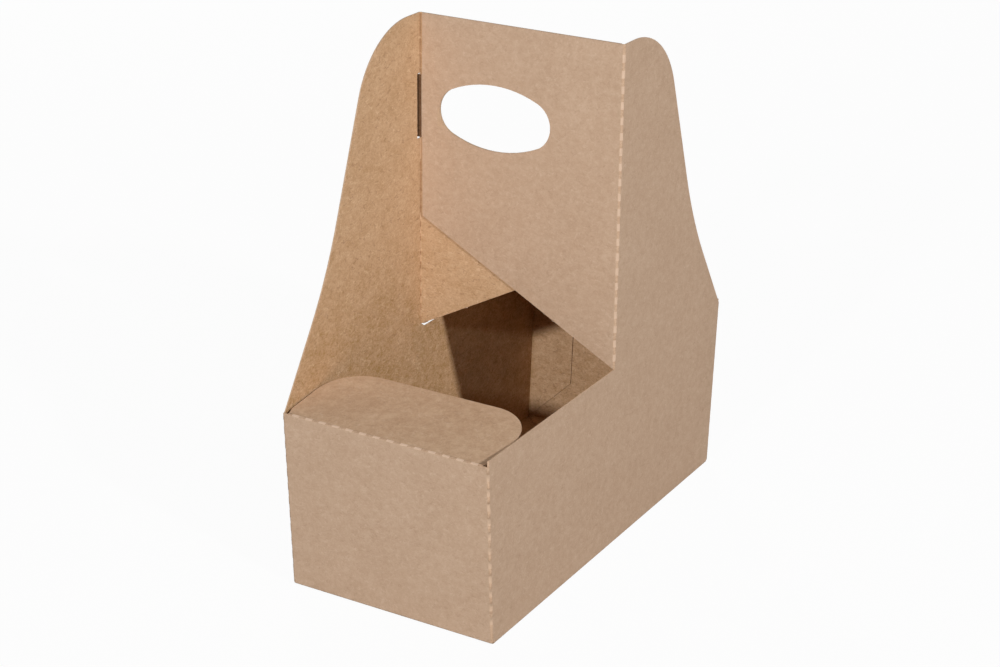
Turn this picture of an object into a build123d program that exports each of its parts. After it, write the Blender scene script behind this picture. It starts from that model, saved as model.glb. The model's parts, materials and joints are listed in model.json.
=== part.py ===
from build123d import *
from math import cos, hypot, radians, sin, tan
import os

# Cup carrier folded from one blank of kraft board. Two cups stand in an open tub, one on
# each side of an upright handle that crosses the tub at mid length. Each side wall is low
# over one half of its length and tall over the other, and the upper part that was cut free
# from the low half is folded across the tub as one of the two handle panels.
# X runs across the width, Y along the length, Z up from the surface it stands on.

# Board and creases
board = 0.5
crease_inside_radius = 0.5

# Tub
width = 90.0
base_length = 185.0
end_lean = 3.2
crease_height = 75.0
rim_height = 77.5

# Tall half of a side wall, with runs measured from the handle
total_height = 208.0
shoulder_run = 34.0
shoulder_radius = 36.5
waist_run = 65.6
waist_height = 120.0
waist_radius = 180.0
wing_end_height = 72.6

# Handle panels
panel_free_edge_height = 125.0
panel_end_gap = 1.2

# Hand hole, its centre measured from the top edge and from the middle towards the slotted crease
hole_length = 49.5
hole_height = 26.5
hole_end_radius = 10.0
hole_drop = 37.5
hole_offset = 10.5

# Slot in the left side wall, and the front panel's tongue that goes through it
slot_width = 2.2
slot_height = 26.7
tongue_clearance = 0.6
tongue_reach = 6.0
tongue_corner_radius = 3.0

# Seam tab, glued to the inside of the rear end wall
tab_width = 20.5
tab_foot_bevel = 45.0
tab_head_drop = 8.0
tab_head_bevel = 15.0

# Locked bottom: two wide flaps that meet on the centre line, two end flaps on top of them
wide_flap_end_gap = 1.5
seam_gap = 0.3
seam_land = 4.0
lock_width = 20.0
lock_end_gap = 1.5
lock_lap = 2.0
lock_corner_radius = 6.0
bottom_flap_depth = 42.0
bottom_flap_taper = 5.0

# End flaps over the cups' spaces
flap_depth = 38.4
flap_side_gap = 0.8
flap_corner_radius = 18.0
flap_crease_gap = 0.2
flap_relief_width = 1.2
flap_relief_run = 4.0
flap_rest_tilt = 6.0

half_width = width / 2
half_base = base_length / 2
inside_half_width = half_width - board
slope = tan(radians(end_lean))
wall_run = board / cos(radians(end_lean))
crease_outside_radius = board + crease_inside_radius
panel_free_end = panel_end_gap - inside_half_width
hole_centre_height = total_height - hole_drop
wide_flap_end = half_base - wide_flap_end_gap
bottom_flap_foot = half_base - crease_outside_radius
bottom_flap_far = bottom_flap_foot - bottom_flap_depth


def end_face_y(height):
    return half_base + height * slope


def end_inner_y(height):
    return end_face_y(height) - wall_run


def half_turn(shape):
    return Rot(0, 0, 180) * shape


def walls_block(inset, radius):
    top = total_height + board
    floor = board + inset
    foot = end_face_y(floor) - inset / cos(radians(end_lean))
    head = foot + (top - floor) * slope
    side = Polyline((-foot, floor), (foot, floor), (head, top), (-head, top), close=True)
    block = extrude(Plane.YZ * make_face(side), amount=half_width - inset, both=True)
    creases = block.edges().filter_by(lambda edge: edge.center().Z < top - board)
    return fillet(creases, radius)


def wide_flaps_block(inset, radius):
    block = Pos(0, 0, inset) * Box(
        width - 2 * inset, 2 * wide_flap_end, 4 * crease_outside_radius,
        align=(Align.CENTER, Align.CENTER, Align.MIN),
    )
    creases = block.edges().filter_by(Axis.Y).group_by(Axis.Z)[0]
    return fillet(creases, radius)


def folded_sheet(inset, radius):
    return walls_block(inset, radius) + wide_flaps_block(inset, radius)


def side_wall_waste():
    reach = 2 * end_face_y(total_height)
    corner_run = end_face_y(wing_end_height)
    wing = FilletPolyline(
        (crease_inside_radius, total_height),
        (shoulder_run, total_height),
        (waist_run, waist_height),
        (corner_run, wing_end_height),
        radius=[shoulder_radius, waist_radius],
    )
    rest = Polyline(
        (corner_run, wing_end_height),
        (reach, wing_end_height),
        (reach, 0),
        (-reach, 0),
        (-reach, rim_height),
        (crease_inside_radius, rim_height),
        (crease_inside_radius, total_height),
    )
    kept = extrude(Plane.YZ * make_face(wing + rest), amount=2 * width)
    stock = Box(width, 2 * reach, 2 * total_height, align=(Align.MIN, Align.CENTER, Align.MIN))
    return Pos(inside_half_width, 0, 0) * stock - kept


def tub():
    shell = folded_sheet(0, crease_outside_radius) - folded_sheet(board, crease_inside_radius)
    above_creases = Box(
        2 * inside_half_width, 2 * end_face_y(2 * total_height), total_height,
        align=(Align.CENTER, Align.CENTER, Align.MIN),
    )
    waste = side_wall_waste()
    return shell - Pos(0, 0, crease_height) * above_creases - waste - half_turn(waste)


def handle_panel():
    leg = 2 * crease_outside_radius
    plan = make_face(Polyline(
        (panel_free_end, -board),
        (half_width, -board),
        (half_width, leg),
        (inside_half_width, leg),
        (inside_half_width, 0),
        (panel_free_end, 0),
        close=True,
    ))
    corner = plan.vertices().sort_by_distance((half_width, -board))[0]
    plan = fillet(corner, crease_outside_radius)
    corner = plan.vertices().sort_by_distance((inside_half_width, 0))[0]
    plan = fillet(corner, crease_inside_radius)
    outline = Polyline(
        (half_width, rim_height),
        (half_width, total_height),
        (panel_free_end, total_height),
        (panel_free_end, panel_free_edge_height),
        close=True,
    )
    return extrude(plan, amount=total_height) & extrude(Plane.XZ * make_face(outline), amount=width, both=True)


def hand_hole():
    half_length = hole_length / 2
    half_height = hole_height / 2
    end_centre = half_length - hole_end_radius
    rise = half_height - hole_end_radius
    flank_drop = (end_centre**2 - rise**2) / (2 * rise)
    flank_radius = half_height + flank_drop
    reach = hypot(end_centre, flank_drop)
    meet_x = end_centre * flank_radius / reach
    meet_z = flank_drop * flank_radius / reach - flank_drop
    outline = ThreePointArc((-meet_x, meet_z), (0, half_height), (meet_x, meet_z))
    outline += ThreePointArc((meet_x, meet_z), (half_length, 0), (meet_x, -meet_z))
    outline += ThreePointArc((meet_x, -meet_z), (0, -half_height), (-meet_x, -meet_z))
    outline += ThreePointArc((-meet_x, -meet_z), (-half_length, 0), (-meet_x, meet_z))
    hole = extrude(Plane.XZ * make_face(outline), amount=2 * board, both=True)
    return Pos(-hole_offset, 0, hole_centre_height) * hole


def handle_slot():
    slot = Box(4 * board, slot_width, slot_height, align=(Align.CENTER, Align.MAX, Align.CENTER))
    return Pos(-half_width, 0, hole_centre_height) * slot


def tongue():
    tip = -half_width - tongue_reach
    root = panel_free_end + tongue_corner_radius
    height = slot_height - 2 * tongue_clearance
    blade = Pos((tip + root) / 2, -board / 2, hole_centre_height) * Box(root - tip, board, height)
    corners = blade.edges().filter_by(Axis.Y).group_by(Axis.X)[0]
    return fillet(corners, tongue_corner_radius)


def seam_tab():
    inner_face = Plane(
        origin=(-inside_half_width, end_inner_y(0), 0),
        x_dir=(1, 0, 0),
        z_dir=(0, -cos(radians(end_lean)), sin(radians(end_lean))),
    )
    foot = board + tab_width * tan(radians(tab_foot_bevel))
    head = crease_height - tab_head_drop
    outline = Polyline(
        (0, board),
        (tab_width, foot),
        (tab_width, head - tab_width * tan(radians(tab_head_bevel))),
        (0, head),
        close=True,
    )
    return extrude(inner_face * make_face(outline), amount=board)


def bottom_end_flap():
    outline = Polyline(
        (-inside_half_width, -bottom_flap_foot),
        (inside_half_width, -bottom_flap_foot),
        (inside_half_width - bottom_flap_depth, -bottom_flap_far),
        (bottom_flap_taper - inside_half_width, -bottom_flap_far),
        close=True,
    )
    return Pos(0, 0, board) * extrude(make_face(outline), amount=board)


def bottom_lock():
    length = bottom_flap_far - lock_end_gap
    strip = Box(lock_width + lock_lap, length, board, align=(Align.MIN, Align.MAX, Align.MIN))
    corners = strip.edges().filter_by(Axis.Z).group_by(Axis.X)[-1].group_by(Axis.Y)[0]
    return Pos(-lock_lap, 0, board) * fillet(corners, lock_corner_radius)


def bottom_seam():
    length = half_base - seam_land
    cut = Box(seam_gap, length, 2 * board, align=(Align.CENTER, Align.MAX, Align.CENTER))
    return Pos(0, -seam_land, 0) * cut


def carton():
    body = tub() + handle_panel() + half_turn(handle_panel())
    body = body - hand_hole() - handle_slot() + tongue() + seam_tab()
    for layer in (bottom_end_flap(), bottom_lock()):
        body = body + layer + half_turn(layer)
    return body - bottom_seam() - half_turn(bottom_seam())


def end_flap():
    half = inside_half_width - flap_side_gap
    outline = Polyline(
        (flap_relief_width - half, 0),
        (-half, flap_relief_run),
        (-half, flap_depth),
        (half, flap_depth),
        (half, flap_relief_run),
        (half - flap_relief_width, 0),
        close=True,
    )
    face = make_face(outline)
    face = fillet(face.vertices().group_by(Axis.Y)[-1], flap_corner_radius)
    leaf = extrude(face, amount=board / 2, both=True)
    rolled_edge = Rot(0, 90, 0) * Cylinder(board / 2, 2 * (half - flap_relief_width))
    axis_height = crease_height - board / 2
    axis_y = end_inner_y(axis_height) - flap_crease_gap - board / 2
    return Pos(0, -axis_y, axis_height) * Rot(flap_rest_tilt, 0, 0) * (leaf + rolled_edge)


os.makedirs("parts", exist_ok=True)
export_step(carton(), "parts/carton.step")
export_step(end_flap(), "parts/front_end_flap.step")
export_step(half_turn(end_flap()), "parts/rear_end_flap.step")
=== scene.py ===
import json
import math

import bpy
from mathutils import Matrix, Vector

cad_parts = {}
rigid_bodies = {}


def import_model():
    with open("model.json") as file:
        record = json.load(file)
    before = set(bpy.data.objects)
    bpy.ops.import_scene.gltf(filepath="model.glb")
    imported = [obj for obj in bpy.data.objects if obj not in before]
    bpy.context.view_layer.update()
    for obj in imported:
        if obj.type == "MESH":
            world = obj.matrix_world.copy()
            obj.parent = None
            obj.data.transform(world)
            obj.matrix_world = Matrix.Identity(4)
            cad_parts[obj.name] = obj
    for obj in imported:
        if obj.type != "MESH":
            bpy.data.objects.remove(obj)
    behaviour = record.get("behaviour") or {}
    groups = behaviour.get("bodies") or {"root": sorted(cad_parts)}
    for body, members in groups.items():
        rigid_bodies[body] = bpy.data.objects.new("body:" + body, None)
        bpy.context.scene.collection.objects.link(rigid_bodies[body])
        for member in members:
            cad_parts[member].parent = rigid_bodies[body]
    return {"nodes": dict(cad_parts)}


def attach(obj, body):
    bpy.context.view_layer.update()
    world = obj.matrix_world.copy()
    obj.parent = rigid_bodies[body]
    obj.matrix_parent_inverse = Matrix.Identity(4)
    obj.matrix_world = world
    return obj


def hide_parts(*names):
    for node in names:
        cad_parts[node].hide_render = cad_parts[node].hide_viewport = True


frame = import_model()

# the startup cube, lamp and camera go, the CAD nodes stay
bpy.ops.object.select_all(action="DESELECT")
for spare in list(bpy.context.scene.objects):
    if spare.type != "EMPTY" and spare.name not in frame["nodes"]:
        spare.select_set(True)
bpy.ops.object.delete()
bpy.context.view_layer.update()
print("frame loaded, nodes:", ", ".join(sorted(frame["nodes"])))

mm = 0.001


# shader maths
class Wire:
    def __init__(self, tree, socket=None):
        self.tree = tree
        self.socket = socket

    def add(self, kind, settings=None, inputs=None, output=0):
        node = self.tree.nodes.new(kind)
        for name, value in (settings or {}).items():
            if name == "stops":
                while len(node.color_ramp.elements) < len(value):
                    node.color_ramp.elements.new(1)
                for stop, (place, colour) in zip(node.color_ramp.elements, value):
                    stop.position = place
                    stop.color = colour
            else:
                setattr(node, name, value)
        for key, value in (inputs or {}).items():
            if isinstance(value, Wire):
                self.tree.links.new(value.socket, node.inputs[key])
            else:
                node.inputs[key].default_value = value
        return Wire(self.tree, node.outputs[output]) if len(node.outputs) else None

    def maths(self, operation, first, second):
        return self.add("ShaderNodeMath", {"operation": operation}, {0: first, 1: second})

    def __add__(self, other):
        return self.maths("ADD", self, other)

    def __radd__(self, other):
        return self.maths("ADD", other, self)

    def __sub__(self, other):
        return self.maths("SUBTRACT", self, other)

    def __rsub__(self, other):
        return self.maths("SUBTRACT", other, self)

    def __mul__(self, other):
        return self.maths("MULTIPLY", self, other)

    def __rmul__(self, other):
        return self.maths("MULTIPLY", other, self)

    def mixed(self, mask, first, second):
        return self.add(
            "ShaderNodeMix", {"data_type": "RGBA"}, {0: mask, 6: first, 7: second}, output=2
        )


def startMaterial(name):
    material = bpy.data.materials.new(name)
    material.use_nodes = True
    tree = material.node_tree
    tree.nodes.clear()
    return material, Wire(tree)


def linear(red, green, blue):
    # from screen values of 0 to 255
    shades = [value / 255 for value in (red, green, blue)]
    return (*[s / 12.92 if s <= 0.04045 else ((s + 0.055) / 1.055) ** 2.4 for s in shades], 1)


def noise(wire, place, scale, detail, roughness, output=0):
    return wire.add(
        "ShaderNodeTexNoise", {"noise_dimensions": "3D"},
        {"Vector": place, "Scale": scale, "Detail": detail, "Roughness": roughness}, output,
    )


def band(wire, value, low, high):
    return wire.add(
        "ShaderNodeMapRange", {"interpolation_type": "SMOOTHSTEP"},
        {"Value": value, "From Min": low, "From Max": high},
    )


def boardSurface(wire, colour, roughness, height, strength, distance):
    bump = wire.add(
        "ShaderNodeBump", {}, {"Height": height, "Strength": strength, "Distance": distance}
    )
    surface = wire.add(
        "ShaderNodeBsdfPrincipled", {},
        {
            "Base Color": colour, "Roughness": roughness, "Specular IOR Level": boardSheen,
            "Normal": bump,
        },
    )
    wire.add("ShaderNodeOutputMaterial", {}, {"Surface": surface})


# kraft board, its colours in screen values of 0 to 255
boardSheen = 0.2
outerFace = {
    "base": (188, 159, 134), "light": (203, 176, 152), "dark": (171, 141, 115),
    "fibre": (212, 187, 164), "darkFibre": (150, 119, 92),
    "paleFibres": 0.32, "darkFibres": 0.26, "grain": 0.9, "mottle": 1.4, "cloud": 0.5,
    "roughness": 0.8, "relief": 0.05 * mm, "run": (0.8, 0.8, 1),
}
innerFace = {
    "base": (192, 156, 121), "light": (212, 179, 144), "dark": (163, 127, 81),
    "fibre": (223, 192, 158), "darkFibre": (139, 101, 69),
    "paleFibres": 0.45, "darkFibres": 0.5, "grain": 1.6, "mottle": 1.7, "cloud": 0.7,
    "roughness": 0.9, "relief": 0.07 * mm, "run": (0.65, 0.65, 1),
    # coarser low down, and painted shade low on the left wall where it runs into the tub,
    # pulling its tone towards the dark colour
    "foot": {
        "height": (70 * mm, 128 * mm), "wall": (-44.3 * mm, -43.3 * mm),
        "shade": 0.11, "fine": 0.75, "coarse": 0.3,
    },
}
bentFace = dict(
    outerFace, base=(180, 150, 124), light=(200, 172, 147), dark=(158, 128, 102),
    grain=1.6, mottle=1.5, roughness=0.88, relief=0.09 * mm,
)
# the flaps' upper face: a lit copy of the outer face, yellower as painted warm bounce light
flapWarmLitFace = dict(
    outerFace, base=(191, 159, 130), light=(209, 180, 150), dark=(170, 137, 107),
    mottle=2.0, cloud=0.9,
)
# the inside of the folds: painted shade in the inner creases, much darker than the inner face
creaseShadeFace = dict(
    innerFace, base=(166, 127, 92), light=(190, 152, 116), dark=(134, 96, 66),
    roughness=0.95, relief=0.12 * mm,
)
# painted shade for the tongue's front face where it shows through its slot
slotShadeFace = dict(
    creaseShadeFace, base=(108, 77, 53), light=(126, 92, 66), dark=(88, 60, 41),
    fibre=(132, 98, 71), darkFibre=(74, 49, 33),
)

# what the board's faces share, with noise as scale per metre, detail and roughness,
# and fibres as scale, width and the scale that breaks them up
pulp = {
    "grain": (1500, 3, 0.75), "mottle": (330, 5, 0.75), "cloud": (70, 2, 0.5),
    "curl": (380, 2, 0.5), "curlReach": 3.4 * mm,
    "paleFibre": (430, 0.07, 640), "darkFibre": (300, 0.05, 520),
    "breakNoise": (1, 0.5), "breakBand": (0.5, 0.62),
    "grainTone": 0.55, "mottleTone": 0.4, "cloudTone": 0.3,
    "stops": ((0.2, "dark"), (0.5, "base"), (0.8, "light")),
    "grainHeight": 0.5, "mottleHeight": 0.6, "fibreHeight": 0.35,
    "bump": 0.6, "roughnessSpread": 0.15,
}


def kraftFace(name, look):
    material, wire = startMaterial(name)
    spot = wire.add("ShaderNodeTexCoord", output="Object")
    # the fibres lie along the run of the sheet, level all round the carton
    place = wire.add(
        "ShaderNodeVectorMath", {"operation": "MULTIPLY"}, {0: spot, 1: look["run"]}
    )
    # curled fibres follow the borders of cells in a warped space
    curl = noise(wire, place, *pulp["curl"], output="Color")
    drift = wire.add(
        "ShaderNodeVectorMath", {"operation": "MULTIPLY_ADD"},
        {0: curl, 1: [pulp["curlReach"]] * 3, 2: place},
    )

    def fibres(scale, width, breakup):
        border = wire.add(
            "ShaderNodeTexVoronoi", {"feature": "DISTANCE_TO_EDGE"},
            {"Vector": drift, "Scale": scale},
        )
        broken = noise(wire, place, breakup, *pulp["breakNoise"])
        return (1 - band(wire, border, 0, width)) * band(wire, broken, *pulp["breakBand"])

    grain = noise(wire, place, *pulp["grain"])
    mottle = noise(wire, place, *pulp["mottle"])
    cloud = noise(wire, place, *pulp["cloud"])
    paleFibre = fibres(*pulp["paleFibre"])
    darkFibre = fibres(*pulp["darkFibre"])
    grainTone = (grain - 0.5) * (pulp["grainTone"] * look["grain"])
    mottleTone = (mottle - 0.5) * (pulp["mottleTone"] * look["mottle"])
    speckle = grainTone + mottleTone
    tone = 0.5 + (cloud - 0.5) * (pulp["cloudTone"] * look["cloud"])
    if "foot" in look:
        foot = look["foot"]
        height = wire.add("ShaderNodeSeparateXYZ", {}, {0: spot}, "Z")
        across = wire.add("ShaderNodeSeparateXYZ", {}, {0: spot}, "X")
        low = 1 - band(wire, height, *foot["height"])
        wall = 1 - band(wire, across, *foot["wall"])
        speckle = speckle * (low * foot["coarse"] + foot["fine"])
        # painted shade, low on the left wall
        tone = tone - low * wall * foot["shade"]
    stops = [(stop, linear(*look[shade])) for stop, shade in pulp["stops"]]
    colour = wire.add("ShaderNodeValToRGB", {"stops": stops}, {0: tone + speckle})
    colour = wire.mixed(paleFibre * look["paleFibres"], colour, linear(*look["fibre"]))
    colour = wire.mixed(darkFibre * look["darkFibres"], colour, linear(*look["darkFibre"]))
    relief = grain * pulp["grainHeight"] + mottle * pulp["mottleHeight"]
    relief = relief + paleFibre * pulp["fibreHeight"]
    roughness = look["roughness"] + pulp["roughnessSpread"] * (mottle - 0.5)
    boardSurface(wire, colour, roughness, relief, pulp["bump"], look["relief"])
    return material


# cut edges and bare plies
stackEdge = {"layerScale": 4200, "roughness": 0.92}
barePly = {"layerScale": 2400, "roughness": 0.95}
cutEdge = dict(stackEdge, pale=(214, 186, 158), deep=(158, 126, 97))
# painted shadow on the seam tab's cut edges, for the gap under the tab
tabShadowEdge = dict(stackEdge, pale=(120, 88, 62), deep=(80, 54, 36))
tornPly = dict(barePly, pale=(209, 184, 162), deep=(183, 153, 128))
rubbedPly = dict(barePly, pale=(206, 170, 136), deep=(180, 142, 108))
faintPly = dict(barePly, pale=(196, 169, 145), deep=(177, 149, 124))
crackedPly = dict(barePly, pale=(219, 194, 171), deep=(192, 163, 138))
core = {
    "layers": (3, 0.7), "blotches": (420, 3, 0.6), "layerShare": 0.6, "blotchShare": 0.4,
    "bump": 0.7, "relief": 0.1 * mm, "roughnessSpread": 0.06,
}


def kraftEdge(name, look):
    material, wire = startMaterial(name)
    spot = wire.add("ShaderNodeTexCoord", output="Object")
    layers = noise(wire, spot, look["layerScale"], *core["layers"])
    blotches = noise(wire, spot, *core["blotches"])
    share = layers * core["layerShare"] + blotches * core["blotchShare"]
    colour = wire.mixed(share, linear(*look["deep"]), linear(*look["pale"]))
    roughness = look["roughness"] + core["roughnessSpread"] * (blotches - 0.5)
    boardSurface(wire, colour, roughness, layers, core["bump"], core["relief"])
    return material


finishes = [
    kraftFace("outerKraft", outerFace),
    kraftFace("innerKraft", innerFace),
    kraftEdge("cutKraft", cutEdge),
    kraftEdge("tornKraft", tornPly),
    kraftFace("bentKraft", bentFace),
    kraftFace("creaseShadeKraft", creaseShadeFace),
    kraftFace("flapWarmLitKraft", flapWarmLitFace),
    kraftFace("slotShadeKraft", slotShadeFace),
    kraftEdge("rubbedKraft", rubbedPly),
    kraftEdge("tabShadowKraft", tabShadowEdge),
    kraftEdge("faintKraft", faintPly),
    kraftEdge("crackedKraft", crackedPly),
]
(
    outside, inside, cutSide, torn, bent, creaseShade,
    flapWarmLit, slotShade, rubbed, tabShadowSide, faint, cracked,
) = range(len(finishes))
print("finishes made")


# modelling
bench = {
    "mergeGap": 0.001 * mm, "flatAngle": math.radians(0.5), "sharpAngle": math.radians(50),
    "rayStart": 0.01 * mm, "wornSteps": 2, "normalWeight": 60,
}


def activate(piece):
    if bpy.context.object and bpy.context.object.mode != "OBJECT":
        bpy.ops.object.mode_set(mode="OBJECT")
    bpy.ops.object.select_all(action="DESELECT")
    piece.select_set(True)
    bpy.context.view_layer.objects.active = piece


def openMesh(piece, faces=None, edges=None):
    # into edit mode with only the wanted faces or edges selected
    activate(piece)
    mesh = piece.data
    for part in (mesh.vertices, mesh.edges, mesh.polygons):
        part.foreach_set("select", [False] * len(part))
    if faces:
        bpy.context.tool_settings.mesh_select_mode = (False, False, True)
        mesh.polygons.foreach_set("select", [bool(faces(face)) for face in mesh.polygons])
    if edges:
        bpy.context.tool_settings.mesh_select_mode = (False, True, False)
        spots = [vertex.co for vertex in mesh.vertices]
        mesh.edges.foreach_set("select", [
            bool(edges(spots[edge.vertices[0]], spots[edge.vertices[1]])) for edge in mesh.edges
        ])
    bpy.ops.object.mode_set(mode="EDIT")


def closeMesh():
    bpy.ops.object.mode_set(mode="OBJECT")


def finishModifier(piece, kind, **settings):
    activate(piece)
    modifier = piece.modifiers.new(kind.lower(), kind)
    for name, value in settings.items():
        setattr(modifier, name, value)
    bpy.ops.object.modifier_apply(modifier=modifier.name)


def wearEdges(piece, width):
    finishModifier(
        piece, "BEVEL", width=width, segments=bench["wornSteps"], limit_method="ANGLE",
        angle_limit=bench["sharpAngle"],
    )


def combine(piece, tool, operation):
    finishModifier(piece, "BOOLEAN", operation=operation, solver="EXACT", object=tool)
    activate(tool)
    bpy.ops.object.delete()


def newSolid():
    # the primitive just added, with its place in its mesh
    bpy.ops.object.transform_apply(location=True, rotation=True, scale=True)
    return bpy.context.object


def giveFinishes(piece):
    piece.data.materials.clear()
    for finish in finishes:
        piece.data.materials.append(finish)


def copyOfNode(node, name):
    piece = bpy.data.objects.new(name, frame["nodes"][node].data.copy())
    bpy.context.scene.collection.objects.link(piece)
    giveFinishes(piece)
    openMesh(piece, faces=lambda face: True)
    bpy.ops.mesh.remove_doubles(threshold=bench["mergeGap"])
    bpy.ops.mesh.dissolve_limited(angle_limit=bench["flatAngle"])
    bpy.ops.mesh.normals_make_consistent(inside=False)
    closeMesh()
    return piece


def onAxis(axis, value):
    spot = [0, 0, 0]
    spot[axis] = value
    return spot


def cutIntoCells(piece, cell):
    low, high = Vector(piece.bound_box[0]), Vector(piece.bound_box[6])
    openMesh(piece)
    for axis in range(3):
        reach = high[axis] - low[axis]
        count = int(reach / cell)
        for step in range(1, count + 1):
            point = onAxis(axis, low[axis] + reach * step / (count + 1))
            bpy.ops.mesh.select_all(action="SELECT")
            bpy.ops.mesh.bisect(plane_co=point, plane_no=onAxis(axis, 1))
    closeMesh()


def cutCreases(piece, finish, axis, places):
    # flat cuts through the faces of one finish only
    piece.active_material_index = finish
    openMesh(piece)
    bpy.context.tool_settings.mesh_select_mode = (False, False, True)
    for place in places:
        bpy.ops.mesh.select_all(action="DESELECT")
        bpy.ops.object.material_slot_select()
        bpy.ops.mesh.bisect(plane_co=onAxis(axis, place), plane_no=onAxis(axis, 1))
    closeMesh()


def paintFaces(piece, finishOf):
    # by each face's place, its normal and how thick the sheet is behind it
    for face in piece.data.polygons:
        start = face.center - face.normal * bench["rayStart"]
        hit, point, _, _ = piece.ray_cast(start, -face.normal)
        thickness = (point - face.center).length if hit else math.inf
        face.material_index = finishOf(face.center, face.normal, thickness)


def tearDashes(piece, finish, ply, wanted, depth, lip):
    # the perforation opens along a fold and shows the pale core
    marked = lambda face: face.material_index == finish and wanted(face.center, face.normal)
    openMesh(piece, faces=marked)
    piece.active_material_index = ply
    bpy.ops.object.material_slot_assign()
    bpy.ops.mesh.inset(thickness=lip, depth=-depth)
    closeMesh()


def evenShading(piece):
    # the copied normals go first, or the edges of the torn dashes stay soft
    activate(piece)
    bpy.ops.mesh.customdata_custom_splitnormals_clear()
    bpy.ops.object.shade_smooth()
    bpy.ops.object.shade_smooth_by_angle(angle=bench["sharpAngle"])
    finishModifier(piece, "WEIGHTED_NORMAL", keep_sharp=True, weight=bench["normalWeight"])


# the folded carton
carton = {
    "cell": 7.5 * mm, "wornEdge": 0.09 * mm, "sheetThickest": 1.7 * mm,
    "halfWidth": 45 * mm, "rim": 77.5 * mm, "bottomTop": 1.6 * mm, "footFold": 3 * mm,
    "endTop": 75 * mm, "endTopY": 96.69 * mm, "endTopReach": 0.03 * mm,
    "rollRound": 0.42 * mm, "rollSteps": 4, "rollY": 96 * mm, "rollFoot": 74 * mm,
    "panelEnd": 43.3 * mm, "panelFreeEdge": 125 * mm, "panelHalf": 0.8 * mm,
    "panelFace": 0.2 * mm, "panelFold": 1.1 * mm,
    "slotShadeEdge": 43.8 * mm, "tongueOut": 0.2 * mm,
    "slotMiddle": 170.5 * mm, "slotHalfHeight": 13.35 * mm, "frayFoot": 145 * mm,
    "tabEdge": -23 * mm, "tabWall": 90 * mm, "tabTop": 68 * mm, "gluedCorner": 80 * mm,
    "reliefStart": 0.6 * mm, "reliefRun": 14 * mm, "reliefDrop": 1.6 * mm,
    "reliefFoot": 9.6 * mm, "reliefLift": 0.1 * mm, "reliefWidth": 3 * mm,
    "nibDepth": 0.5 * mm, "nibHeight": 0.6 * mm, "nibRound": 0.1 * mm, "nibOut": 0.25 * mm,
    "frontNibs": {13.3 * mm: 0.9 * mm, 17.2 * mm: 0.9 * mm, -31 * mm: 0.7 * mm},
    "rearNibs": {-42.4 * mm: 2.6 * mm, -22.9 * mm: 0.9 * mm, 27 * mm: 0.8 * mm},
    "dashPitch": 6 * mm, "dashLength": 3 * mm, "dashDepth": 0.12 * mm, "dashLip": 0.08 * mm,
    "lowDashes": (9 * mm, 11), "highDashes": (81 * mm, 21), "flapDashes": (-40.5 * mm, 14),
}
# how far a face's normal leans along an axis
lean = {"turned": 0.15, "aside": 0.2, "level": 0.85, "square": 0.9, "under": -0.6, "lip": -0.3}


def cartonFinish(centre, normal, thickness):
    x, y, z = centre
    if thickness > carton["sheetThickest"]:
        # the seam tab's cut edges take the painted shadow
        onTab = x < carton["tabEdge"] and y > carton["tabWall"] and z < carton["tabTop"]
        return tabShadowSide if onTab else cutSide
    nearMiddle = abs(y) < carton["panelHalf"]
    # the left crease is frayed pale for a short way under the slot
    inCrease = x < -carton["panelEnd"] and nearMiddle and normal.x - normal.y > lean["aside"]
    if inCrease and carton["frayFoot"] < z < carton["slotMiddle"] - carton["slotHalfHeight"]:
        return rubbed
    # painted shade: the tongue's front face is dark where it shows through its slot, and takes
    # the darker inner finish above and below it
    onTongue = x < -carton["slotShadeEdge"] and nearMiddle and z > carton["rim"]
    if onTongue and normal.y < -lean["square"]:
        inSlot = abs(z - carton["slotMiddle"]) < carton["slotHalfHeight"]
        return slotShade if inSlot else inside
    # past the left wall the tongue takes the darker inner finish as painted shade
    if x < -carton["halfWidth"] - carton["tongueOut"]:
        return inside
    # the top of an end wall rolls over
    onRoll = abs(y) > carton["rollY"] and z > carton["rollFoot"]
    if onRoll and normal.z > lean["aside"] and abs(normal.x) < lean["aside"]:
        return bent
    if z < carton["bottomTop"] and abs(normal.z) > lean["level"]:
        return outside if normal.z < 0 else inside
    # the handle's two panels
    if nearMiddle and z > carton["rim"] and abs(x) < carton["halfWidth"] - carton["panelFold"]:
        return outside if normal.y * y > 0 and abs(y) > carton["panelFace"] else inside
    turned = [abs(part) > lean["turned"] for part in normal]
    # inner faces turned both ways, at a fold, take the painted crease shade
    if normal.x * x + normal.y * y < 0 and normal.z > lean["under"]:
        return creaseShade if turned[0] and turned[1] else inside
    if sum(turned) > 1 and (turned[0] or z < carton["footFold"]):
        return bent
    return outside


cartonSheet = copyOfNode("carton", "carton_sheet")

# the top of each end wall rolls over into its flap
openMesh(cartonSheet, edges=lambda a, b: all(
    abs(abs(end.y) - carton["endTopY"]) < carton["endTopReach"]
    and abs(end.z - carton["endTop"]) < carton["endTopReach"]
    for end in (a, b)
))
bpy.ops.mesh.bevel(
    offset=carton["rollRound"], segments=carton["rollSteps"], clamp_overlap=False
)
closeMesh()

# a shallow relief in the low left rim beside the foot of the handle
bpy.ops.object.select_all(action="DESELECT")
bpy.ops.mesh.primitive_cube_add(
    size=1,
    scale=(
        carton["reliefWidth"], carton["reliefRun"], carton["reliefDrop"] + carton["reliefLift"],
    ),
    location=(
        -carton["halfWidth"], carton["reliefStart"] + carton["reliefRun"] / 2,
        carton["rim"] + (carton["reliefLift"] - carton["reliefDrop"]) / 2,
    ),
)
relief = newSolid()
openMesh(relief, faces=lambda face: face.normal.z < -lean["square"])
bpy.ops.transform.resize(value=(1, carton["reliefFoot"] / carton["reliefRun"], 1))
closeMesh()
combine(cartonSheet, relief, "DIFFERENCE")
cutIntoCells(cartonSheet, carton["cell"])
wearEdges(cartonSheet, carton["wornEdge"])
paintFaces(cartonSheet, cartonFinish)


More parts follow.
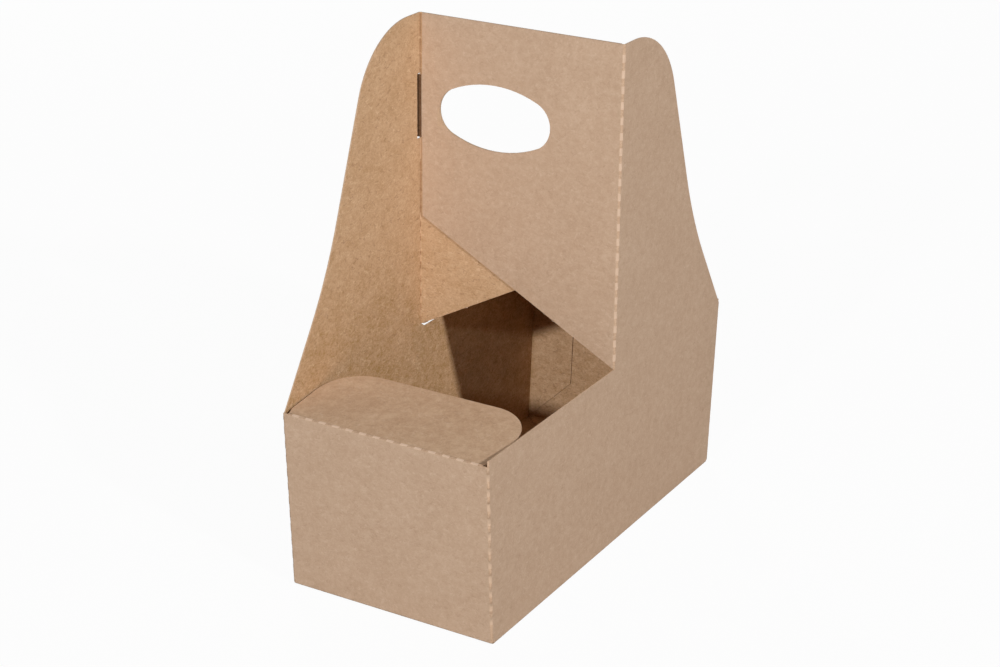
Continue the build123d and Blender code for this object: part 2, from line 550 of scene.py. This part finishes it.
def dashRuns(start, count):
    return [start + step * carton["dashPitch"] for step in range(count)]


def dashEnds(starts):
    return [start + end for start in starts for end in (0, carton["dashLength"])]


uprightDashes = dashRuns(*carton["lowDashes"]) + dashRuns(*carton["highDashes"])
flapDashes = dashRuns(*carton["flapDashes"])
cutCreases(cartonSheet, bent, 2, dashEnds(uprightDashes))
cutCreases(cartonSheet, creaseShade, 2, dashEnds(uprightDashes))
cutCreases(cartonSheet, bent, 0, dashEnds(flapDashes))


def onDash(place, starts):
    return any(0 < place - start < carton["dashLength"] for start in starts)


def upright(centre, normal):
    glued = centre.x < 0 and centre.y > carton["gluedCorner"]
    turning = min(abs(normal.x), abs(normal.y)) > lean["turned"]
    return turning and not glued and onDash(centre.z, uprightDashes)


def highUpright(centre, normal):
    return upright(centre, normal) and centre.z > carton["rim"]


def openCrease(centre, normal):
    return highUpright(centre, normal) and centre.z < carton["panelFreeEdge"]


def overFlap(centre, normal):
    onLip = normal.z > lean["lip"] and abs(normal.x) < lean["aside"]
    return onLip and onDash(centre.x, flapDashes)


# each kind's depth and lip are shares of the full ones
for fold, ply, wanted, depth, lip in (
    (bent, torn, highUpright, 1, 1),
    (bent, faint, upright, 0.7, 1),
    (bent, cracked, overFlap, 0.4, 0.4),
    (creaseShade, rubbed, openCrease, 0.5, 1),
):
    tearDashes(
        cartonSheet, fold, ply, wanted, carton["dashDepth"] * depth, carton["dashLip"] * lip
    )


# torn nibs stand where the blank was nicked to its waste along the panels' low edges
def addNib(side, x, length):
    rise = (carton["panelFreeEdge"] - carton["rim"]) / (carton["halfWidth"] + carton["panelEnd"])
    height = carton["rim"] + (carton["halfWidth"] + side * x) * rise
    bpy.ops.object.select_all(action="DESELECT")
    bpy.ops.mesh.primitive_cube_add(
        size=1, location=(x, side * carton["nibOut"], height),
        rotation=(0, -side * math.atan(rise), 0),
        scale=(length, carton["nibDepth"], carton["nibHeight"]),
    )
    nib = newSolid()
    wearEdges(nib, carton["nibRound"])
    giveFinishes(nib)
    nib.data.polygons.foreach_set("material_index", [torn] * len(nib.data.polygons))
    activate(cartonSheet)
    nib.select_set(True)
    bpy.ops.object.join()


for side, nibs in ((-1, carton["frontNibs"]), (1, carton["rearNibs"])):
    for x, length in nibs.items():
        addNib(side, x, length)
evenShading(cartonSheet)
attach(cartonSheet, "carton")
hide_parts("carton")
print("carton sheet:", len(cartonSheet.data.polygons), "faces")


# the two end flaps, each with a bead along its crease
flap = {
    "cell": 5 * mm, "wornEdge": 0.09 * mm, "sheetThickest": 0.8 * mm,
    "axisY": 95.728 * mm, "axisZ": 74.75 * mm, "beadRadius": 0.42 * mm,
    "beadLength": 85 * mm, "beadSides": 24, "beadReach": 0.46 * mm,
    "dashDepth": 0.03 * mm, "dashLip": 0.02 * mm,
}


def flapFinish(centre, normal, thickness):
    if abs(abs(centre.y) - flap["axisY"]) < flap["beadReach"]:
        return bent if normal.z > lean["lip"] else inside
    if thickness > flap["sheetThickest"]:
        return cutSide
    # the upper face takes the lit copy with its painted bounce light
    return flapWarmLit if normal.z > 0 else inside


for node, side in (("front_end_flap", -1), ("rear_end_flap", 1)):
    sheet = copyOfNode(node, node + "_sheet")
    bpy.ops.object.select_all(action="DESELECT")
    bpy.ops.mesh.primitive_cylinder_add(
        vertices=flap["beadSides"], radius=flap["beadRadius"], depth=flap["beadLength"],
        location=(0, side * flap["axisY"], flap["axisZ"]), rotation=(0, math.radians(90), 0),
    )
    combine(sheet, newSolid(), "UNION")
    cutIntoCells(sheet, flap["cell"])
    wearEdges(sheet, flap["wornEdge"])
    paintFaces(sheet, flapFinish)
    cutCreases(sheet, bent, 0, dashEnds(flapDashes))
    tearDashes(sheet, bent, cracked, overFlap, flap["dashDepth"], flap["dashLip"])
    evenShading(sheet)
    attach(sheet, node)
    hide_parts(node)
    print(node, "sheet:", len(sheet.data.polygons), "faces")


# floor, lamps and camera
studio = {
    "floorSize": 6, "floorGap": 0.2 * mm, "floorShade": 0.55, "floorGlow": 0.96,
    "skyLevel": 0.06, "aim": (0, 0, 80 * mm),
    "lamps": {
        "rightLamp": {"from": (1, -0.37, 0.57), "distance": 2, "size": 0.11, "watts": 27.5},
        "frontLamp": {"from": (0.08, -1, 0.465), "distance": 2, "size": 0.11, "watts": 22.4},
        "rearLamp": {"from": (-0.85, 1, 0.25), "distance": 2, "size": 0.5, "watts": 27},
    },
}
white = (1, 1, 1, 1)

bpy.ops.object.select_all(action="DESELECT")
bpy.ops.mesh.primitive_plane_add(size=studio["floorSize"], location=(0, 0, -studio["floorGap"]))
floor = bpy.context.object
floor.name = "floor"
floorFinish, wire = startMaterial("floorPaper")
seen = wire.add("ShaderNodeLightPath", output="Is Camera Ray")
matt = wire.add("ShaderNodeBsdfDiffuse", {}, {"Color": (*[studio["floorShade"]] * 3, 1)})
glow = wire.add("ShaderNodeEmission", {}, {"Color": white, "Strength": 1})
both = wire.add("ShaderNodeMixShader", {}, {0: seen * studio["floorGlow"], 1: matt, 2: glow})
wire.add("ShaderNodeOutputMaterial", {}, {"Surface": both})
floor.data.materials.append(floorFinish)

for name, setting in studio["lamps"].items():
    away = Vector(setting["from"]).normalized()
    bpy.ops.object.light_add(
        type="AREA", location=Vector(studio["aim"]) + away * setting["distance"]
    )
    lamp = bpy.context.object
    lamp.name = name
    lamp.data.shape = "DISK"
    lamp.data.size = setting["size"]
    lamp.data.energy = setting["watts"]
    lamp.rotation_euler = away.to_track_quat("Z", "Y").to_euler()

world = bpy.data.worlds.new("studio")
world.use_nodes = True
world.node_tree.nodes.clear()
wire = Wire(world.node_tree)
seen = wire.add("ShaderNodeLightPath", output="Is Camera Ray")
level = seen * (1 - studio["skyLevel"]) + studio["skyLevel"]
sky = wire.add("ShaderNodeBackground", {}, {"Color": white, "Strength": level})
wire.add("ShaderNodeOutputWorld", {}, {"Surface": sky})
bpy.context.scene.world = world
bpy.context.scene.view_settings.view_transform = "Standard"

# metres, degrees and millimetres of lens
camera = {
    "place": (0.40145, -0.70304, 0.41720), "turn": (67.567, -0.622, 30.413),
    "lens": 78.97, "sensor": 36, "nearest": 0.01, "farthest": 50,
}
bpy.ops.object.camera_add(
    location=camera["place"], rotation=[math.radians(angle) for angle in camera["turn"]]
)
shot = bpy.context.object
shot.data.sensor_width = camera["sensor"]
shot.data.lens = camera["lens"]
shot.data.clip_start = camera["nearest"]
shot.data.clip_end = camera["farthest"]
bpy.context.scene.camera = shot
print("studio set")
